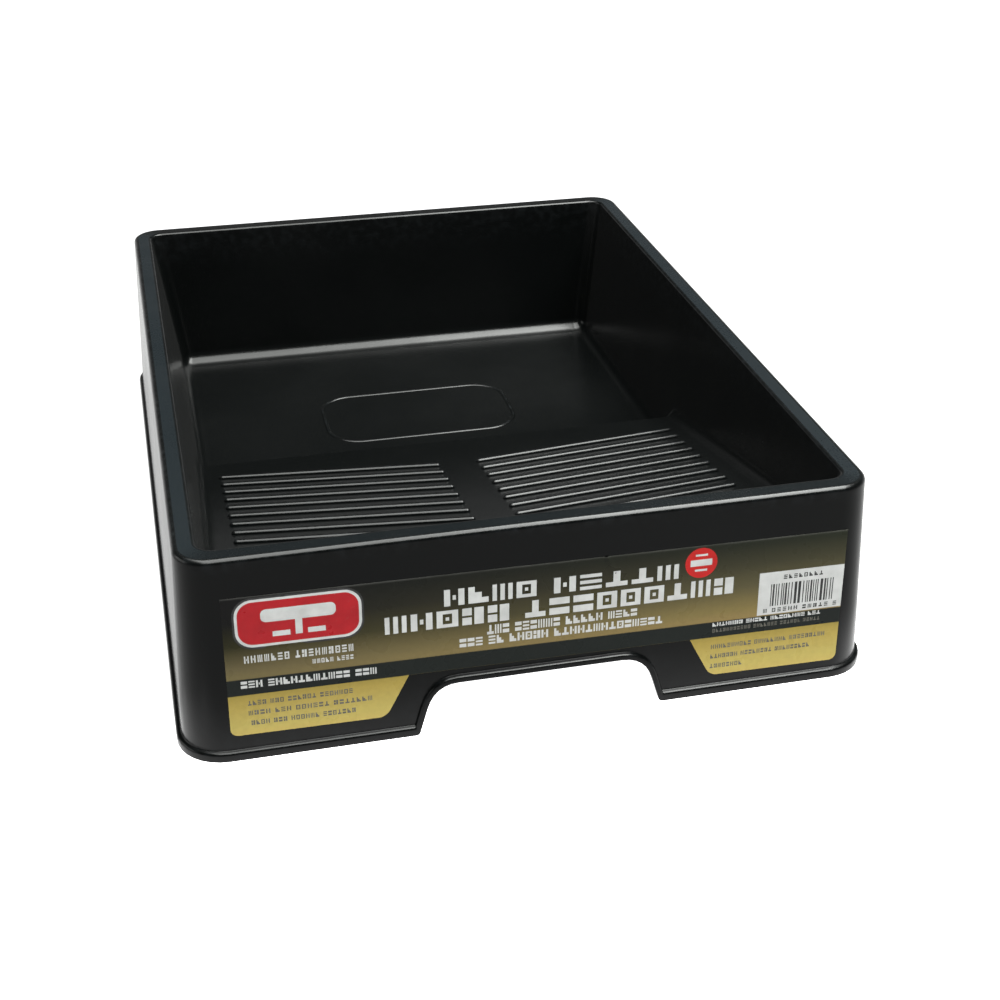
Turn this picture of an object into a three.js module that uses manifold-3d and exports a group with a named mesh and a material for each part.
// A wide floor tray for paint rollers: a moulded basin with a deep well, a riser and a ribbed ramp,
// hung from a flat rim inside a skirt that reaches the floor, and a film label on the front wall.
// Millimetres. X is across the tray, +Y points to the well, +Z is up, and the origin is the middle
// of the base.
import * as THREE from "three";
import { mergeVertices } from "three/addons/utils/BufferGeometryUtils.js";
import Module from "manifold-3d";

const wasm = await Module();
wasm.setup();

// Rim and skirt
const RIM_WIDTH = 330;
const RIM_LENGTH = 446;
const HEIGHT = 104;
const WALL = 2;
const SKIRT_FLARE = 4.9; // how far each skirt wall leans out between the rim and the floor
const RIM_CORNER = 16;
const BASE_CORNER = 21;
const RIM_EDGE = 2; // chamfer round the outside of the rim
const LEDGE = 10.8; // flat top of the rim, from its outside to the basin's mouth
const MOUTH_CORNER = 8;
const CORNER_STEPS = 6;

// Hem round the foot of the skirt and round the notch
const HEM_HEIGHT = 5;
const HEM_DEPTH = 2.2;
const NOTCH_HEM = 3.3; // width of the hem where it follows the notch

// Notch in the front wall
const NOTCH_FOOT = 59.5; // half width on the floor
const NOTCH_LEAN = 0.3; // inward lean of the notch's sides, as run over rise
const NOTCH_SHOULDER_HEIGHT = 14; // where the round upper corners begin
const NOTCH_HEIGHT = 26.4;
const NOTCH_CROWN = 40; // half width of the level top edge

// Basin
const BASIN_DRAFT = 0.141; // inward lean of the basin walls, as run over rise
const WELL_FLOOR = 15;
const WELL_FILLET = 9;
const RISER_FOOT_Y = 23.5;
const RISER_TOP_Y = 7.5;
const RAMP_START = 33.8; // height of the ramp at the riser's top
const RAMP_SLOPE = 0.173;
const FILLET_STEPS = 5;
const RAMP_ANGLE = Math.atan(RAMP_SLOPE);
const RISER_ANGLE = Math.atan2(RAMP_START - WELL_FLOOR, RISER_FOOT_Y - RISER_TOP_Y);

// Ribs on the ramp, in two mirrored groups
const RIB_COUNT = 11;
const RIB_RADIUS = 2.1;
const RIB_HEIGHT = 1.9; // above the ramp, and as deep below it
const RIB_PITCH = 13.3;
const RIB_OUTER_X = 133.8;
const RIB_OUTER_Y = -20; // the first rib's outer end
const RIB_INNER_X = 10.4;
const RIB_INNER_Y = -39.5; // the first rib's inner end

// Raised panel outline on the well floor
const PANEL_WIDTH = 119;
const PANEL_LENGTH = 66;
const PANEL_CENTRE_Y = 88;
const PANEL_CORNER = 20;
const PANEL_LINE = 1.6;
const PANEL_RELIEF = 0.6;

// Label
const LABEL_LEFT = -147.5;
const LABEL_RIGHT = 151.5;
const LABEL_TOP = 83.3;
const LABEL_BOTTOM = 10.9;
const LABEL_BRIDGE = 32.3; // lower edge of the label between its two tabs
const TAB_TOP_LEFT = -63.6;
const TAB_TOP_RIGHT = 74.2;
const TAB_SLANT = 11.2; // how far a tab's inner edge leans away from the notch
const TAB_CORNER = 3.5;
const LABEL_THICKNESS = 0.3;
const LABEL_GAP = 0.3;
const LABEL_TILT = THREE.MathUtils.degToRad(-0.65);

const OVERSHOOT = 10; // how far a cutting solid runs past what it cuts

// ---- closed solids -------------------------------------------------------------------------

function toSolid(geometry) {
  const bare = geometry.index ? geometry.clone() : geometry;
  bare.deleteAttribute("normal");
  bare.deleteAttribute("uv");
  const merged = mergeVertices(bare, 1e-4);
  return new wasm.Manifold(
    new wasm.Mesh({
      numProp: 3,
      vertProperties: new Float32Array(merged.attributes.position.array),
      triVerts: new Uint32Array(merged.index.array),
    }),
  );
}

function toGeometry(solid) {
  const mesh = solid.getMesh();
  const geometry = new THREE.BufferGeometry();
  geometry.setAttribute("position", new THREE.BufferAttribute(mesh.vertProperties, 3));
  geometry.setIndex(new THREE.BufferAttribute(mesh.triVerts, 1));
  geometry.computeVertexNormals();
  return geometry;
}

// The outline of a rounded rectangle, anticlockwise seen from above.
function roundedRectangle(halfWidth, halfLength, radius) {
  const points = [];
  for (let corner = 0; corner < 4; corner++) {
    const signX = corner === 0 || corner === 3 ? 1 : -1;
    const signY = corner < 2 ? 1 : -1;
    for (let step = 0; step <= CORNER_STEPS; step++) {
      const angle = (corner + step / CORNER_STEPS) * (Math.PI / 2);
      points.push(
        new THREE.Vector2(
          signX * (halfWidth - radius) + radius * Math.cos(angle),
          signY * (halfLength - radius) + radius * Math.sin(angle),
        ),
      );
    }
  }
  return points;
}

// A solid skinned over level outlines with equal numbers of points, listed from the lowest up.
function loft(sections) {
  const count = sections[0].outline.length;
  const positions = sections.flatMap(({ outline, z }) => outline.flatMap((p) => [p.x, p.y, z]));
  const top = (sections.length - 1) * count;
  const index = [];
  for (let ring = 0; ring < top; ring += count) {
    for (let i = 0; i < count; i++) {
      const here = ring + i;
      const next = ring + ((i + 1) % count);
      index.push(here, next, next + count, here, next + count, here + count);
    }
  }
  for (let i = 1; i + 1 < count; i++) {
    index.push(0, i + 1, i, top, top + i, top + i + 1);
  }
  const geometry = new THREE.BufferGeometry();
  geometry.setAttribute("position", new THREE.Float32BufferAttribute(positions, 3));
  geometry.setIndex(index);
  return toSolid(geometry);
}

// A shape drawn across X and up Z, extruded between two distances along Y.
function extrudeAlongY(shape, fromY, toY) {
  const geometry = new THREE.ExtrudeGeometry(shape, { depth: toY - fromY, bevelEnabled: false });
  geometry.rotateX(Math.PI / 2);
  geometry.translate(0, toY, 0);
  return toSolid(geometry);
}

// A shape drawn along Y and up Z, extruded across the whole tray.
function extrudeAcross(shape, halfWidth) {
  const geometry = new THREE.ExtrudeGeometry(shape, { depth: 2 * halfWidth, bevelEnabled: false });
  geometry.translate(0, 0, -halfWidth);
  geometry.applyMatrix4(
    new THREE.Matrix4().makeBasis(
      new THREE.Vector3(0, 1, 0),
      new THREE.Vector3(0, 0, 1),
      new THREE.Vector3(1, 0, 0),
    ),
  );
  return toSolid(geometry);
}

// ---- skirt and rim -------------------------------------------------------------------------

// The skirt's outline at a height, moved outwards by a distance (inwards where it is negative).
function skirtOutline(z, outward = 0) {
  const share = 1 - z / HEIGHT;
  const grow = SKIRT_FLARE * share + outward;
  const corner = THREE.MathUtils.lerp(RIM_CORNER, BASE_CORNER, share) + outward;
  return roundedRectangle(RIM_WIDTH / 2 + grow, RIM_LENGTH / 2 + grow, corner);
}

function skirtSection(z, outward) {
  return { outline: skirtOutline(z, outward), z };
}

function skirtBlock() {
  return loft([
    skirtSection(0),
    skirtSection(HEIGHT - RIM_EDGE),
    skirtSection(HEIGHT, -RIM_EDGE),
  ]);
}

function skirtHollow() {
  return loft([
    skirtSection(-OVERSHOOT, -WALL),
    skirtSection(HEIGHT - WALL, -WALL),
  ]);
}

// ---- basin ---------------------------------------------------------------------------------

// The basin's outline at a height, moved outwards by a distance.
function basinSection(z, outward) {
  const inset = LEDGE + BASIN_DRAFT * (HEIGHT - z) - outward;
  const outline = roundedRectangle(
    RIM_WIDTH / 2 - inset,
    RIM_LENGTH / 2 - inset,
    MOUTH_CORNER + outward,
  );
  return { outline, z };
}

function rampPoint(x, y) {
  return new THREE.Vector3(x, y, RAMP_START + RAMP_SLOPE * (RISER_TOP_Y - y));
}

// A corner of the floor's side view where two faces of given slopes meet, moved below both of them.
function loweredCorner(y, z, oneAngle, otherAngle, lowered) {
  const lean = (oneAngle + otherAngle) / 2;
  const reach = lowered / Math.cos((oneAngle - otherAngle) / 2);
  return [y - reach * Math.sin(lean), z - reach * Math.cos(lean)];
}

// Everything above the basin's floor, seen from the side. The floor is lowered by a distance.
function aboveFloor(lowered) {
  const backWallY = RIM_LENGTH / 2 - LEDGE - BASIN_DRAFT * (HEIGHT - WELL_FLOOR) + lowered;
  const floor = WELL_FLOOR - lowered;
  const fillet = WELL_FILLET + lowered;
  const rampEndY = -RIM_LENGTH / 2;
  const rampEndZ = rampPoint(0, rampEndY).z - lowered / Math.cos(RAMP_ANGLE);
  const shape = new THREE.Shape();
  shape.moveTo(backWallY + OVERSHOOT, HEIGHT + OVERSHOOT);
  shape.lineTo(rampEndY, HEIGHT + OVERSHOOT);
  shape.lineTo(rampEndY, rampEndZ);
  shape.lineTo(...loweredCorner(RISER_TOP_Y, RAMP_START, RAMP_ANGLE, RISER_ANGLE, lowered));
  shape.lineTo(...loweredCorner(RISER_FOOT_Y, WELL_FLOOR, RISER_ANGLE, 0, lowered));
  shape.lineTo(backWallY - fillet, floor);
  shape.absarc(backWallY - fillet, floor + fillet, fillet, -Math.PI / 2, 0, false);
  shape.lineTo(backWallY + OVERSHOOT, HEIGHT + OVERSHOOT);
  return extrudeAcross(flattened(shape), RIM_WIDTH);
}

// The same shape with each of its arcs cut into FILLET_STEPS straight lines.
function flattened(shape) {
  return new THREE.Shape(shape.getPoints(FILLET_STEPS));
}

function basinBlock(outward, top) {
  return loft([basinSection(0, outward), basinSection(top, outward)]).intersect(aboveFloor(outward));
}

// ---- notch and hem -------------------------------------------------------------------------

// The notch's outline moved into the wall by a distance, with its rounded upper corners.
function notchShape(grow) {
  const halfWidth = (z) => NOTCH_FOOT + grow - NOTCH_LEAN * z;
  const shoulder = NOTCH_SHOULDER_HEIGHT;
  const top = NOTCH_HEIGHT + grow;
  const shape = new THREE.Shape();
  shape.moveTo(-halfWidth(-OVERSHOOT), -OVERSHOOT);
  shape.lineTo(halfWidth(-OVERSHOOT), -OVERSHOOT);
  shape.lineTo(halfWidth(shoulder), shoulder);
  shape.quadraticCurveTo(halfWidth(top), top, NOTCH_CROWN, top);
  shape.lineTo(-NOTCH_CROWN, top);
  shape.quadraticCurveTo(-halfWidth(top), top, -halfWidth(shoulder), shoulder);
  return flattened(shape);
}

function notchCutter(grow) {
  return extrudeAlongY(notchShape(grow), -RIM_LENGTH, -RIM_LENGTH / 4);
}

// A band that stands out of the skirt along the floor and follows the notch's edge.
function hem() {
  const tallest = NOTCH_HEIGHT + NOTCH_HEM;
  const band = loft([skirtSection(0, HEM_DEPTH), skirtSection(tallest, HEM_DEPTH)])
    .subtract(loft([skirtSection(-OVERSHOOT, -WALL), skirtSection(tallest + OVERSHOOT, -WALL)]));
  const foot = loft([
    { outline: roundedRectangle(RIM_WIDTH, RIM_LENGTH, BASE_CORNER), z: -OVERSHOOT },
    { outline: roundedRectangle(RIM_WIDTH, RIM_LENGTH, BASE_CORNER), z: HEM_HEIGHT },
  ]);
  return band.intersect(foot.add(notchCutter(NOTCH_HEM)));
}

// ---- ribs and raised panel -----------------------------------------------------------------

// One bead lying half sunk in the ramp, between its inner and outer end.
function rib(number, side) {
  const inner = rampPoint(side * RIB_INNER_X, RIB_INNER_Y - number * RIB_PITCH);
  const outer = rampPoint(side * RIB_OUTER_X, RIB_OUTER_Y - number * RIB_PITCH);
  const along = outer.clone().sub(inner);
  const length = along.length() - 2 * RIB_RADIUS;
  const bead = new THREE.CapsuleGeometry(RIB_RADIUS, length, 3, 8);
  bead.scale(1, 1, RIB_HEIGHT / RIB_RADIUS);
  const turn = new THREE.Quaternion().setFromUnitVectors(
    new THREE.Vector3(0, 1, 0),
    along.normalize(),
  );
  bead.applyQuaternion(turn);
  const middle = inner.add(outer).multiplyScalar(0.5);
  bead.translate(middle.x, middle.y, middle.z);
  return toSolid(bead);
}

// A line of low relief on the well floor, closed round a blank panel.
function raisedPanel() {
  const floorSection = (inset, z) => {
    const outline = roundedRectangle(
      PANEL_WIDTH / 2 - inset,
      PANEL_LENGTH / 2 - inset,
      PANEL_CORNER - inset,
    );
    return { outline: outline.map((p) => new THREE.Vector2(p.x, p.y + PANEL_CENTRE_Y)), z };
  };
  const sunk = WELL_FLOOR - WALL / 2;
  const top = WELL_FLOOR + PANEL_RELIEF;
  const block = loft([floorSection(0, sunk), floorSection(0, top)]);
  const inside = loft([
    floorSection(PANEL_LINE, sunk - OVERSHOOT),
    floorSection(PANEL_LINE, top + OVERSHOOT),
  ]);
  return block.subtract(inside);
}

// ---- the two pieces ------------------------------------------------------------------------

function trayBody() {
  const underside = skirtHollow().subtract(basinBlock(WALL, HEIGHT));
  let body = skirtBlock().subtract(underside).subtract(basinBlock(0, HEIGHT + OVERSHOOT));
  body = body.add(hem()).subtract(notchCutter(0));
  for (let number = 0; number < RIB_COUNT; number++) {
    body = body.add(rib(number, 1)).add(rib(number, -1));
  }
  return body.add(raisedPanel());
}

// The label's outline, drawn across X and up the front wall from its foot: a wide panel with a tab
// on each side of the notch.
function labelShape() {
  const shape = new THREE.Shape();
  const leftFoot = TAB_TOP_LEFT - TAB_SLANT;
  const rightFoot = TAB_TOP_RIGHT + TAB_SLANT;
  shape.moveTo(LABEL_LEFT, LABEL_TOP);
  shape.lineTo(LABEL_LEFT, LABEL_BOTTOM + TAB_CORNER);
  shape.quadraticCurveTo(LABEL_LEFT, LABEL_BOTTOM, LABEL_LEFT + TAB_CORNER, LABEL_BOTTOM);
  shape.lineTo(leftFoot - TAB_CORNER, LABEL_BOTTOM);
  shape.quadraticCurveTo(leftFoot, LABEL_BOTTOM, leftFoot + TAB_CORNER / 2, LABEL_BOTTOM + TAB_CORNER);
  shape.lineTo(TAB_TOP_LEFT, LABEL_BRIDGE);
  shape.lineTo(TAB_TOP_RIGHT, LABEL_BRIDGE);
  shape.lineTo(rightFoot - TAB_CORNER / 2, LABEL_BOTTOM + TAB_CORNER);
  shape.quadraticCurveTo(rightFoot, LABEL_BOTTOM, rightFoot + TAB_CORNER, LABEL_BOTTOM);
  shape.lineTo(LABEL_RIGHT - TAB_CORNER, LABEL_BOTTOM);
  shape.quadraticCurveTo(LABEL_RIGHT, LABEL_BOTTOM, LABEL_RIGHT, LABEL_BOTTOM + TAB_CORNER);
  shape.lineTo(LABEL_RIGHT, LABEL_TOP);
  return flattened(shape);
}

const black = new THREE.MeshStandardMaterial({ color: 0x14181a, roughness: 0.35, metalness: 0 });
const gold = new THREE.MeshStandardMaterial({ color: 0x8a7440, roughness: 0.3, metalness: 0 });

const tray = new THREE.Mesh(toGeometry(trayBody()), black);
tray.name = "tray_body";

const label = new THREE.Mesh(
  new THREE.ExtrudeGeometry(labelShape(), { depth: LABEL_THICKNESS, bevelEnabled: false }),
  gold,
);
label.name = "front_label";
label.rotation.z = LABEL_TILT;
label.position.z = LABEL_GAP;

// The front wall's own plane: its foot on the floor, leaning back by the skirt's flare.
const frontWall = new THREE.Group();
frontWall.position.y = -RIM_LENGTH / 2 - SKIRT_FLARE;
frontWall.rotation.x = Math.PI / 2 - Math.atan(SKIRT_FLARE / HEIGHT);
frontWall.add(label);

const part = new THREE.Group();
part.name = "roller_floor_tray";
part.add(tray, frontWall);

export default part;
